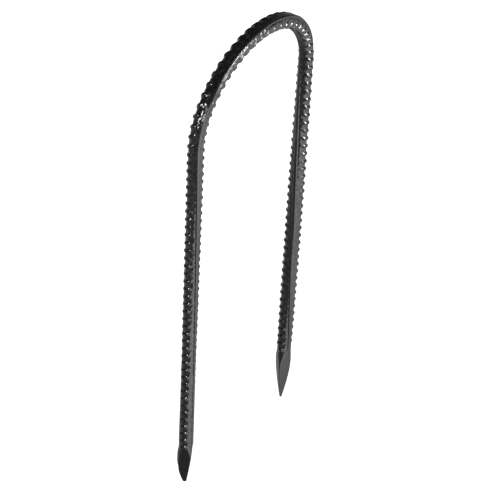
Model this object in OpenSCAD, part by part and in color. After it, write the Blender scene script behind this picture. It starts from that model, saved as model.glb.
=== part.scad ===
// U-shaped ground stake, bent from one length of ribbed steel bar, with both ends forged to points.
// The bar is divided where its shape changes: a half-round crown, two straight legs and two points.
// Each division meets the next on one flat, round face, and none of them overlap.
// X runs across the two legs, Y is the bend's axis and Z runs up from the lower tip.

/* [Stake] */
// Height from the lower tip to the top of the crown, over the bar's core
overall_h = 406; // [250:1:600]
// Distance between the legs' centre lines where they leave the crown
leg_spacing = 122.5; // [70:0.5:180]
// How much longer the right leg is than the left, because the bend isn't quite central
leg_difference = 6; // [0:1:20]
// Lean of each leg towards the other, left by bending a little past a half turn
leg_lean = 0.45; // [0:0.05:1.5]

/* [Bar] */
// Diameter of the round core between the ribs
core_d = 10.2; // [8:0.1:12]
// Height of a cross rib above the core
rib_h = 1; // [0.4:0.1:1.4]
// Distance from one cross rib to the next along the bar
rib_pitch = 7.4; // [6:0.1:10]
// Length of a cross rib's foot along the bar
rib_foot = 4; // [1.6:0.1:4.2]
// Length of a cross rib's crest along the bar
rib_crest = 1.2; // [0.4:0.1:1.4]
// Width of the two seams that run along the bar on opposite sides
seam_w = 3; // [2:0.1:4]
// Height of the seams above the core
seam_h = 0.8; // [0.2:0.1:1]
// Turn of the seams at the middle of the crown, from the bend's side towards its outside
crown_turn = 52; // [0:1:90]
// Turn of the seams for each millimetre along the bar there, in degrees
seam_twist = 0.235; // [0:0.005:0.4]
// How much that turn grows in each millimetre from the middle of the crown towards the right leg
seam_twist_growth = 0.0002; // [0:0.0001:0.0004]

/* [Points] */
// Length of each forged point
point_l = 47; // [30:1:70]
// Width across the flats at the blunt tip
tip_w = 2; // [1:0.1:3]
// Distance across the rounded corners between the flats
corner_d = 12.2; // [10:0.1:13]
// Turn of the left point's flats about its leg
left_point_turn = 35; // [0:1:90]
// Turn of the right point's flats about its leg
right_point_turn = 55; // [0:1:90]

/* [Hidden] */
steel = [0.1, 0.1, 0.11];
round_fn = 72;
flat_fn = 720;
core_r = core_d / 2;
crest_r = core_r + rib_h;
seam_r = core_r + seam_h;
bend_r = leg_spacing / 2;
bend_z = overall_h - core_r - bend_r;
bend_angle = 180 + 2 * leg_lean;
arc_l = PI * bend_r * bend_angle / 180;
// A seam's straight pieces are each this long, and turn by one step of the twist.
seam_step = 4 * rib_pitch;

// Length of a leg with its point, from the end of the bend to the tip; side is -1 or 1.
function side_l(side) =
    (bend_z - bend_r * sin(leg_lean)) / cos(leg_lean) - (side < 0 ? leg_difference : 0);

// Outline of one cross rib's half section, at height z on a bar that stands upright.
function rib_outline(z) = [
    [core_r, z - rib_foot / 2],
    [crest_r, z - rib_crest / 2],
    [crest_r, z + rib_crest / 2],
    [core_r, z + rib_foot / 2],
];

// Turn of the seams about the bar at distance s from the middle of the crown, towards the right leg.
function seam_turn(s) = crown_turn + (seam_twist + seam_twist_growth * s) * s;

// A straight ribbed bar standing on the origin.
module ribbed_bar(length) {
    ribs = floor(length / rib_pitch);
    first = (length - (ribs - 1) * rib_pitch) / 2;
    rotate_extrude($fn = round_fn)
        polygon(concat(
            [[0, 0], [core_r, 0]],
            [for (k = [0 : ribs - 1]) each rib_outline(first + k * rib_pitch)],
            [[core_r, length], [0, length]]
        ));
}

// One cross rib centred on the origin, whose flanks run on into the core so that they meet it cleanly.
module rooted_rib() {
    root = rib_foot / 2 + (rib_foot - rib_crest) / 2;
    root_r = core_r - rib_h;
    rotate_extrude($fn = round_fn)
        polygon([
            [0, -root],
            [root_r, -root],
            [crest_r, -rib_crest / 2],
            [crest_r, rib_crest / 2],
            [root_r, root],
            [0, root],
        ]);
}

// Places its child on a leg's tip, with the leg's own axis upright.
module on_leg(side) {
    translate([side * bend_r * cos(leg_lean), 0, bend_z - bend_r * sin(leg_lean)])
        rotate([0, side * leg_lean, 0])
            translate([0, 0, -side_l(side)]) children();
}

module leg(side) {
    length = side_l(side) - point_l;
    color(steel) on_leg(side) translate([0, 0, point_l]) {
        ribbed_bar(length);
        for (z = [0 : seam_step : length - rib_foot]) {
            piece_l = min(seam_step, length - z);
            s = side * (arc_l / 2 + length - z - piece_l / 2);
            rotate([0, 0, side * seam_turn(s)])
                translate([-seam_w / 2, -seam_r, z]) cube([seam_w, 2 * seam_r, piece_l]);
        }
    }
}

// A point: two pairs of arched flats, pressed at right angles to each other into the round bar.
module point(side, turn) {
    flat_rise = core_r - tip_w / 2;
    flat_r = (point_l * point_l + flat_rise * flat_rise) / (2 * flat_rise);
    color(steel) on_leg(side) rotate([0, 0, turn])
        intersection() {
            cylinder(d = corner_d, h = point_l, $fn = round_fn);
            intersection_for(quarter = [0, 90])
                intersection_for(flat = [-1, 1])
                    rotate([0, 0, quarter]) translate([-corner_d, flat * (core_r - flat_r), point_l])
                        rotate([0, 90, 0]) cylinder(r = flat_r, h = 2 * corner_d, $fn = flat_fn);
        }
}

// The crown lies in its own plane first: the bend's axis is upright and the right leg's end is on +X.
module crown() {
    ribs = floor(arc_l / rib_pitch);
    rib_angle = rib_pitch / arc_l * bend_angle;
    color(steel) translate([0, 0, bend_z]) rotate([90, 0, 0]) {
        rotate([0, 0, -leg_lean]) rotate_extrude(angle = bend_angle, $fn = 2 * round_fn)
            translate([bend_r, 0]) circle(r = core_r, $fn = round_fn);
        for (k = [0 : ribs - 1]) {
            rib_turn = 90 + (k - (ribs - 1) / 2) * rib_angle;
            rotate([0, 0, rib_turn]) translate([bend_r, 0, 0]) rotate([90, 0, 0]) rooted_rib();
        }
    }
}

crown();
leg(-1);  // left_leg
leg(1);  // right_leg
point(-1, left_point_turn);  // left_point
point(1, right_point_turn);  // right_point
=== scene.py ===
"""The looks of a U-shaped ground stake, bent from one length of ribbed steel bar and coated glossy black.

The bar is made as its maker makes it: rolled straight with its seams and cross ribs, pressed to a point at
each end, and then bent to the U that the frame gives. The five CAD lengths are each replaced by the same
length of that one bar. Lengths are in metres and angles in radians, unless a name says deg.
"""

import math

import bmesh
import bpy
from mathutils import Matrix, Vector, noise


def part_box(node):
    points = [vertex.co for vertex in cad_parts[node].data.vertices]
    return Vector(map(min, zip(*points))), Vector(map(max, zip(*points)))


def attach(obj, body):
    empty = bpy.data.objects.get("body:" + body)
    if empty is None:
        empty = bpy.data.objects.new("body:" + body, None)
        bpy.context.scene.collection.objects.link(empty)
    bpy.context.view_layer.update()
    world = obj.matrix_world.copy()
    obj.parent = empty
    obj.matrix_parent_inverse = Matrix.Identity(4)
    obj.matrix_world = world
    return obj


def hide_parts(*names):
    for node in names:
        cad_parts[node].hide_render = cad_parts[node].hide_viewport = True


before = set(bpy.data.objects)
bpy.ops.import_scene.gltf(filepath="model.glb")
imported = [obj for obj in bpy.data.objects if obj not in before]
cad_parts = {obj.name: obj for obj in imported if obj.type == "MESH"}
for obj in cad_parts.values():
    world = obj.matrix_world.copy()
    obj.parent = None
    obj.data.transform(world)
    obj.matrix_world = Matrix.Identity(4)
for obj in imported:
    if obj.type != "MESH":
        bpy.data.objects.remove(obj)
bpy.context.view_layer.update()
MM = 0.001


# ---------------------------------------------------------------- sizes, worked out from the frame

leg_low, leg_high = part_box("right_leg")
left_leg_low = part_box("left_leg")[0]
right_tip_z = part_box("right_point")[0].z
left_tip_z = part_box("left_point")[0].z

RIB_H = 1.0 * MM
CREST_R = (leg_high.y - leg_low.y) / 2
CORE_R = CREST_R - RIB_H
# Each leg leans inwards: these are its centre line's distances from the middle at its two ends.
leg_top_x = leg_high.x - CREST_R
leg_foot_x = leg_low.x + CREST_R
LEAN = math.atan2(leg_top_x - leg_foot_x, leg_high.z - leg_low.z)
BEND_R = leg_top_x / math.cos(LEAN)
BEND_Z = leg_high.z + (BEND_R - CORE_R) * math.sin(LEAN)

# Distances along the bar, counted from the top of the crown: the left leg's are negative.
HALF_ARC = BEND_R * (math.pi / 2 + LEAN)
leg_top_z = BEND_Z - BEND_R * math.sin(LEAN)
RIGHT_TIP = HALF_ARC + (leg_top_z - right_tip_z) / math.cos(LEAN)
LEFT_TIP = -HALF_ARC - (leg_top_z - left_tip_z) / math.cos(LEAN)
RIGHT_POINT = HALF_ARC + (leg_top_z - leg_low.z) / math.cos(LEAN)
LEFT_POINT = -HALF_ARC - (leg_top_z - left_leg_low.z) / math.cos(LEAN)


# ---------------------------------------------------------------- the bar as it is rolled

SEAM_H = 0.6 * MM
# Half the angle that a seam takes up round the bar, at its top and at its foot.
SEAM_TOP = math.radians(9)
SEAM_FOOT = math.radians(16)
# The seams wind slowly round the bar, and a little faster towards the right leg.
CROWN_TURN = math.radians(52)
SEAM_TWIST = math.radians(0.235) / MM
TWIST_GROWTH = math.radians(0.0002) / MM ** 2

RIB_PITCH = 7.405 * MM
RIB_FOOT = 4.2 * MM
RIB_CREST = 1.2 * MM
# The ribs of the two rows slant opposite ways, by this much along the bar for each unit round it.
RIB_SLANT = math.tan(math.radians(27))
# Where a rib of each row lies along the bar.
ROW_START = {1: -3.1 * MM, -1: 6.5 * MM}
# A rib is a crescent: it has its full height over the middle of its row and dies away towards the seams.
RIB_FULL = math.radians(15)
RIB_END = math.radians(56)

# Hot rolling and the thick coating leave the surface slightly lumpy, and the seams and points less so.
LUMP_H = 0.26 * MM
LUMP_SPACING = 2.0 * MM
POINT_LUMPS = 0.3
SEAM_LUMPS = 0.15


def smooth(edge0, edge1, x):
    """0 at edge0 and 1 at edge1, with a smooth rise between them and no change beyond them."""
    t = min(max((x - edge0) / (edge1 - edge0), 0.0), 1.0)
    return t * t * (3 - 2 * t)


def seam_turn(s):
    """Turn of the first seam about the bar, from the U's front face towards its outside."""
    return CROWN_TURN + (SEAM_TWIST + TWIST_GROWTH * s) * s


def seam_height(around):
    """Height over the core of the two seams, around being the angle from the first of them."""
    off = min(abs(around), math.pi - abs(around))
    return SEAM_H * (1 - smooth(SEAM_TOP, SEAM_FOOT, off))


def rib_height(s, around):
    """Height over the core of the nearest cross rib, at that distance along the bar and that angle."""
    row = 1 if around > 0 else -1
    off = around - row * math.pi / 2
    along = (s - ROW_START[row] + row * RIB_SLANT * CORE_R * off) / RIB_PITCH
    away = abs(along - round(along)) * RIB_PITCH
    shape = 1 - smooth(RIB_CREST / 2, RIB_FOOT / 2, away)
    fade = 1 - smooth(RIB_FULL, RIB_END, abs(off))
    return RIB_H * shape * fade


# ---------------------------------------------------------------- the points as they are pressed

# Each point has four flats, in order round the bar from its turn: the length that each is pressed over, how
# steeply it closes in, and its half width at the tip. The nose is the rounded end of the tip.
POINTS = {
    1: {
        "turn": math.radians(-35),
        "nose": 1.0 * MM,
        "flats": [(54 * MM, 1.7, 0.55 * MM)] * 4,
    },
    -1: {
        "turn": math.radians(55),
        "nose": 2.2 * MM,
        "flats": [
            (40 * MM, 1.5, 1.0 * MM),
            (20 * MM, 1.7, 0.8 * MM),
            (40 * MM, 1.5, 1.0 * MM),
            (42 * MM, 1.3, 1.0 * MM),
        ],
    },
}
# The steel that the flats push aside swells the bar to its corners over this length.
CORNER_R = 6.1 * MM
SWELL_L = 12 * MM
# The ribs and seams are pressed flat between the first distance beyond a point and the second within it.
FADE_BEYOND = 2 * MM
FADE_WITHIN = 6 * MM
# Beyond its own length a flat runs out of the bar at this slope, and by this distance it has left it.
RUN_OUT_SLOPE = 0.5
RUN_OUT_L = 8 * MM
# How crisp the corners between the flats are, and the least that a flat faces a direction to count there.
CORNER_CRISPNESS = 24
LEAST_FACING = 0.1


def pressed(radius, point, from_tip, beta):
    """Radius of the bar once a point's flats are pressed into it, beta being the angle from the front."""
    total = radius ** -CORNER_CRISPNESS
    for quarter, (length, steepness, tip) in enumerate(point["flats"]):
        facing = math.cos(beta - point["turn"] - quarter * math.pi / 2)
        if facing > LEAST_FACING:
            rise = (1 - min(from_tip / length, 1.0)) ** steepness
            half = CORE_R - (CORE_R - tip) * rise + max(from_tip - length, 0) * RUN_OUT_SLOPE
            total += (half / facing) ** -CORNER_CRISPNESS
    return total ** (-1 / CORNER_CRISPNESS)


def bar_radius(s, beta):
    """(radius of the bar's surface, how much of it is a raised crest, how much of it is forged)."""
    around = math.remainder(beta - seam_turn(s), 2 * math.pi)
    point = POINTS[1 if s > 0 else -1]
    from_tip = RIGHT_TIP - s if s > 0 else s - LEFT_TIP
    length = max(flat[0] for flat in point["flats"])

    rolled = smooth(length - FADE_WITHIN, length + FADE_BEYOND, from_tip)
    raised = max(rib_height(s, around), seam_height(around)) * rolled
    swell = (CORNER_R - CORE_R) * (1 - smooth(length - SWELL_L, length, from_tip))

    place = Vector((math.cos(beta) * CORE_R, math.sin(beta) * CORE_R, s)) / LUMP_SPACING
    lumpy = POINT_LUMPS + (1 - POINT_LUMPS) * rolled
    lumpy *= 1 - (1 - SEAM_LUMPS) * seam_height(around) / SEAM_H
    radius = CORE_R + raised + swell + LUMP_H * noise.noise(place) * lumpy

    if from_tip < length + RUN_OUT_L:
        radius = pressed(radius, point, from_tip, beta)
    if from_tip < point["nose"]:
        radius *= math.sqrt(max(1 - (1 - from_tip / point["nose"]) ** 2, 0))
    return radius, raised / RIB_H, 1 - rolled


# ---------------------------------------------------------------- the bar as it is bent

SIDES = 120
STEP = RIB_PITCH / 20
POINT_STEP = 0.25 * MM
# Vertices closer than this are one: the two sides of the rolled-up strip, and the ring at a sharp tip.
WELD = 0.002 * MM


def bend(s, outward, front):
    """Where a point of the straight bar lies on the U: s along the bar, outward and front from its middle."""
    on_arc = min(max(s, -HALF_ARC), HALF_ARC)
    past = abs(s - on_arc)
    turn = on_arc / BEND_R
    radius = BEND_R + outward
    side = 1 if s > 0 else -1
    x = radius * math.sin(turn) - side * past * math.sin(LEAN)
    z = BEND_Z + radius * math.cos(turn) - past * math.cos(LEAN)
    return Vector((x, -front, z))


def bar_length(name, node, start, end, step):
    """One length of the bar between two distances along it, bent to the U, standing for a CAD node."""
    steps = max(1, round((end - start) / step))
    bm = bmesh.new()
    # A flat strip, one unit each way from its middle, is rolled up: X goes round the bar and Y along it.
    bmesh.ops.create_grid(bm, x_segments=SIDES, y_segments=steps, size=1)
    crest = bm.verts.layers.float.new("crest")
    forged = bm.verts.layers.float.new("forged")
    for v in bm.verts:
        s = start + (end - start) * (v.co.y + 1) / 2
        beta = seam_turn(s) + math.pi * (1 - v.co.x)
        radius, v[crest], v[forged] = bar_radius(s, beta)
        v.co = bend(s, radius * math.sin(beta), radius * math.cos(beta))
    bmesh.ops.remove_doubles(bm, verts=bm.verts, dist=WELD)
    for face in bm.faces:
        face.smooth = True
    rims = [edge for edge in bm.edges if edge.is_boundary]
    bmesh.ops.holes_fill(bm, edges=rims, sides=0)
    for edge in rims:
        edge.smooth = False
    bmesh.ops.recalc_face_normals(bm, faces=bm.faces)

    mesh = bpy.data.meshes.new(name)
    bm.to_mesh(mesh)
    bm.free()
    piece = bpy.data.objects.new(name, mesh)
    bpy.context.scene.collection.objects.link(piece)
    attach(piece, "root")
    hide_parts(node)
    return piece


pieces = [
    bar_length("ribbed_crown", "crown", -HALF_ARC, HALF_ARC, STEP),
    bar_length("ribbed_left_leg", "left_leg", LEFT_POINT, -HALF_ARC, STEP),
    bar_length("ribbed_right_leg", "right_leg", HALF_ARC, RIGHT_POINT, STEP),
    bar_length("forged_left_point", "left_point", LEFT_TIP, LEFT_POINT, POINT_STEP),
    bar_length("forged_right_point", "right_point", RIGHT_POINT, RIGHT_TIP, POINT_STEP),
]


# ---------------------------------------------------------------- material

# The coating's ripple, like orange peel, and the fine grain, the specks and the broad patches of its tone.
RIPPLE = 1.6 * MM
GRAIN = 0.5 * MM
SPECKS = 2.2 * MM
PATCHES = 14 * MM


def linear(code):
    """A linear RGBA colour from an sRGB hex code such as #0c0c0d."""
    channels = [int(code[i:i + 2], 16) / 255 for i in (1, 3, 5)]
    return [c / 12.92 if c <= 0.04045 else ((c + 0.055) / 1.055) ** 2.4 for c in channels] + [1.0]


def add(tree, kind, settings=None, **inputs):
    """Adds a node: settings are its own properties, and each input is a value or another node's output.

    An input is named by its socket's name, with _ for a space, or by _ and its socket's number.
    """
    node = tree.nodes.new(kind)
    for key, value in (settings or {}).items():
        setattr(node, key, value)
    for key, value in inputs.items():
        socket = node.inputs[int(key[1:])] if key[1:].isdigit() else node.inputs[key.replace("_", " ")]
        if isinstance(value, bpy.types.NodeSocket):
            tree.links.new(value, socket)
        else:
            socket.default_value = value
    return node


def black_coated_steel():
    """Steel bar with a baked glossy black coating.

    A thick dark paint film: deep black where it is seen square on, with a bright edge where it is seen at a
    slant, and small sharp highlights on every rib. It pulls a little thin over the crests and is
    faintly rippled like orange peel, with the bar's rolled scale showing through as specks and fine grain.
    """
    material = bpy.data.materials.new("black_coated_steel")
    material.use_nodes = True
    tree = material.node_tree
    tree.nodes.clear()
    place = add(tree, "ShaderNodeTexCoord").outputs["Object"]
    crest = add(tree, "ShaderNodeAttribute", {"attribute_name": "crest"}).outputs["Fac"]
    forged = add(tree, "ShaderNodeAttribute", {"attribute_name": "forged"}).outputs["Fac"]

    ripple = add(tree, "ShaderNodeTexNoise", Vector=place, Scale=1 / RIPPLE, Detail=3.0, Roughness=0.55)
    grain = add(tree, "ShaderNodeTexNoise", Vector=place, Scale=1 / GRAIN, Detail=4.0, Roughness=0.7)
    scale = add(tree, "ShaderNodeTexNoise", Vector=place, Scale=1 / SPECKS, Detail=5.0, Roughness=0.7)
    patches = add(tree, "ShaderNodeTexNoise", Vector=place, Scale=1 / PATCHES, Detail=4.0, Roughness=0.6)

    tone = add(tree, "ShaderNodeValToRGB", Fac=patches.outputs["Fac"])
    thick, thin = tone.color_ramp.elements
    thick.position = 0.35
    thick.color = linear("#060607")
    thin.position = 0.7
    thin.color = linear("#0c0c0d")

    # The scale shows as light specks on the rolled bar, and forging leaves a quarter of them on the points.
    specks = add(tree, "ShaderNodeMapRange", Value=scale.outputs["Fac"], From_Min=0.47, From_Max=0.62)
    left = add(tree, "ShaderNodeMapRange", Value=forged, To_Min=1.0, To_Max=0.25)
    speck = add(tree, "ShaderNodeMath", {"operation": "MULTIPLY"},
                _0=specks.outputs["Result"], _1=left.outputs["Result"])
    specked = add(tree, "ShaderNodeMix", {"data_type": "RGBA"},
                  Factor=speck.outputs["Value"], A=tone.outputs["Color"], B=linear("#242427"))
    worn = add(tree, "ShaderNodeMix", {"data_type": "RGBA"},
               Factor=crest, A=specked.outputs[2], B=linear("#101011"))

    rough = add(tree, "ShaderNodeMapRange", Value=patches.outputs["Fac"],
                From_Min=0.3, From_Max=0.7, To_Min=0.12, To_Max=0.2)
    rippled = add(tree, "ShaderNodeBump", Strength=0.6, Distance=0.14 * MM, Height=ripple.outputs["Fac"])
    grained = add(tree, "ShaderNodeBump", Strength=0.3, Distance=0.03 * MM, Height=grain.outputs["Fac"],
                  Normal=rippled.outputs["Normal"])
    shader = add(tree, "ShaderNodeBsdfPrincipled", Base_Color=worn.outputs[2],
                 Roughness=rough.outputs["Result"], IOR=1.5, Normal=grained.outputs["Normal"])
    add(tree, "ShaderNodeOutputMaterial", Surface=shader.outputs["BSDF"])
    return material


coating = black_coated_steel()
for piece in pieces:
    piece.data.materials.append(coating)


# ---------------------------------------------------------------- camera

height = BEND_Z + BEND_R + CREST_R
middle = Vector((0, 0, height / 2))

CAMERA_AZIMUTH_DEG = -54.86
CAMERA_ELEVATION_DEG = 44.47
CAMERA_ROLL_DEG = 3.27
CAMERA_LENS_MM = 239.5
CAMERA_DISTANCE = 5.78 * height
# Where the view's middle meets the plane of the U.
AIM = Vector((0.0078, 0, 0.477 * height))


def direction(azimuth_deg, elevation_deg):
    """Unit vector towards a place at that azimuth, counted from the front to the right, and elevation."""
    a = math.radians(azimuth_deg)
    e = math.radians(elevation_deg)
    return Vector((math.sin(a) * math.cos(e), -math.cos(a) * math.cos(e), math.sin(e)))


camera_data = bpy.data.cameras.new("camera")
camera_data.sensor_width = 36
camera_data.lens = CAMERA_LENS_MM
camera_data.clip_end = 50
camera = bpy.data.objects.new("camera", camera_data)
back = direction(CAMERA_AZIMUTH_DEG, CAMERA_ELEVATION_DEG)
camera_place = Matrix.Translation(AIM + back * CAMERA_DISTANCE)
upright = back.to_track_quat("Z", "Y").to_matrix().to_4x4()
roll = Matrix.Rotation(math.radians(CAMERA_ROLL_DEG), 4, "Z")
camera.matrix_world = camera_place @ upright @ roll
bpy.context.scene.collection.objects.link(camera)
bpy.context.scene.camera = camera


# ---------------------------------------------------------------- studio

FLOOR_Z = -0.35
FLOOR_SIZE = 24
# How brightly the floor glows at each angle, in degrees, from the side towards the camera to the right.
FLOOR_GLOW = [
    (-140, 0.6), (-100, 0.42), (-60, 0.34), (-20, 0.24), (10, 0.24),
    (24, 2.0), (36, 3.1), (50, 2.2), (75, 1.25), (110, 1.1), (130, 0.3), (170, 0.2),
]
GLOW_MAX = max(glow for turn, glow in FLOOR_GLOW)
# The share of that glow at two distances from the stake.
GLOW_NEAR = (0.15, 0.2)
GLOW_FAR = (0.75, 1.15)
GLOW_LIFT = 5 * MM
# A lamp's angle to the right of the camera and its elevation, in degrees, its size and its power in watts.
LAMPS = {
    "key": (66, 12, (0.7, 0.8), 27),
    "glint_lamp": (72, 17, (0.15, 0.12), 16),
    "left_lamp": (-32, 14, (0.45, 0.22), 14),
}
LAMP_DISTANCE = 1.3
ROOM_GLOW = 0.1


def floor_sheet(name, level):
    """A level square sheet as large as the floor, with a glowing matt white material of its own."""
    bm = bmesh.new()
    bmesh.ops.create_grid(bm, x_segments=1, y_segments=1, size=FLOOR_SIZE / 2)
    bmesh.ops.translate(bm, verts=bm.verts, vec=(0, 0, level))
    mesh = bpy.data.meshes.new(name)
    bm.to_mesh(mesh)
    bm.free()
    sheet = bpy.data.objects.new(name, mesh)
    bpy.context.scene.collection.objects.link(sheet)
    material = bpy.data.materials.new(name)
    material.use_nodes = True
    shader = material.node_tree.nodes["Principled BSDF"]
    shader.inputs["Base Color"].default_value = linear("#fafafa")
    shader.inputs["Roughness"].default_value = 0.9
    shader.inputs["Emission Color"].default_value = (1, 1, 1, 1)
    shader.inputs["Emission Strength"].default_value = 1.0
    mesh.materials.append(material)
    return sheet


def mirrored_floor():
    """The floor as the coating mirrors it: brighter on the key's side and darker away from it.

    It lies on the plain floor and the camera doesn't see it. Its glow follows the angle round the stake,
    and it is fainter close to the stake.
    """
    sheet = floor_sheet("floor_glow", FLOOR_Z + GLOW_LIFT)
    sheet.visible_camera = False
    tree = sheet.data.materials[0].node_tree
    shader = tree.nodes["Principled BSDF"]
    shader.inputs["Base Color"].default_value = linear("#000000")

    place = add(tree, "ShaderNodeTexCoord").outputs["Object"]
    around = add(tree, "ShaderNodeTexGradient", {"gradient_type": "RADIAL"}, Vector=place).outputs["Fac"]
    ramp = add(tree, "ShaderNodeValToRGB", Fac=around)
    # The gradient's own zero lies half a turn from +X, and the studio's angles start from the front.
    stops = sorted(((CAMERA_AZIMUTH_DEG + turn + 90) / 360 % 1, glow) for turn, glow in FLOOR_GLOW)
    ramp.color_ramp.elements[0].position = stops[0][0]
    ramp.color_ramp.elements[1].position = stops[-1][0]
    for position, glow in stops[1:-1]:
        ramp.color_ramp.elements.new(position)
    for element, (position, glow) in zip(ramp.color_ramp.elements, stops):
        element.color = [glow / GLOW_MAX] * 3 + [1]

    away = add(tree, "ShaderNodeVectorMath", {"operation": "LENGTH"}, _0=place).outputs["Value"]
    strength = add(tree, "ShaderNodeMapRange", Value=away,
                   From_Min=GLOW_NEAR[0], To_Min=GLOW_NEAR[1] * GLOW_MAX,
                   From_Max=GLOW_FAR[0], To_Max=GLOW_FAR[1] * GLOW_MAX)
    tree.links.new(ramp.outputs["Color"], shader.inputs["Emission Color"])
    tree.links.new(strength.outputs["Result"], shader.inputs["Emission Strength"])


def soft_lamp(name, turn_deg, elevation_deg, size, power):
    """A rectangular lamp aimed at the stake's middle, which the camera doesn't see."""
    data = bpy.data.lights.new(name, "AREA")
    data.shape = "RECTANGLE"
    data.size, data.size_y = size
    data.energy = power
    lamp = bpy.data.objects.new(name, data)
    towards = direction(CAMERA_AZIMUTH_DEG + turn_deg, elevation_deg)
    lamp.location = middle + towards * LAMP_DISTANCE
    lamp.rotation_euler = towards.to_track_quat("Z", "Y").to_euler()
    lamp.visible_camera = False
    bpy.context.scene.collection.objects.link(lamp)


def studio_world():
    """White all round to the camera, and a dim room to everything else."""
    world = bpy.data.worlds.new("studio")
    world.use_nodes = True
    tree = world.node_tree
    seen = add(tree, "ShaderNodeLightPath").outputs["Is Camera Ray"]
    strength = add(tree, "ShaderNodeMapRange", Value=seen, To_Min=ROOM_GLOW, To_Max=1.0)
    room = tree.nodes["Background"]
    room.inputs["Color"].default_value = (1, 1, 1, 1)
    tree.links.new(strength.outputs["Result"], room.inputs["Strength"])
    bpy.context.scene.world = world


floor_sheet("floor", FLOOR_Z)
mirrored_floor()
for name, lamp in LAMPS.items():
    soft_lamp(name, *lamp)
studio_world()
bpy.context.scene.view_settings.view_transform = "Standard"
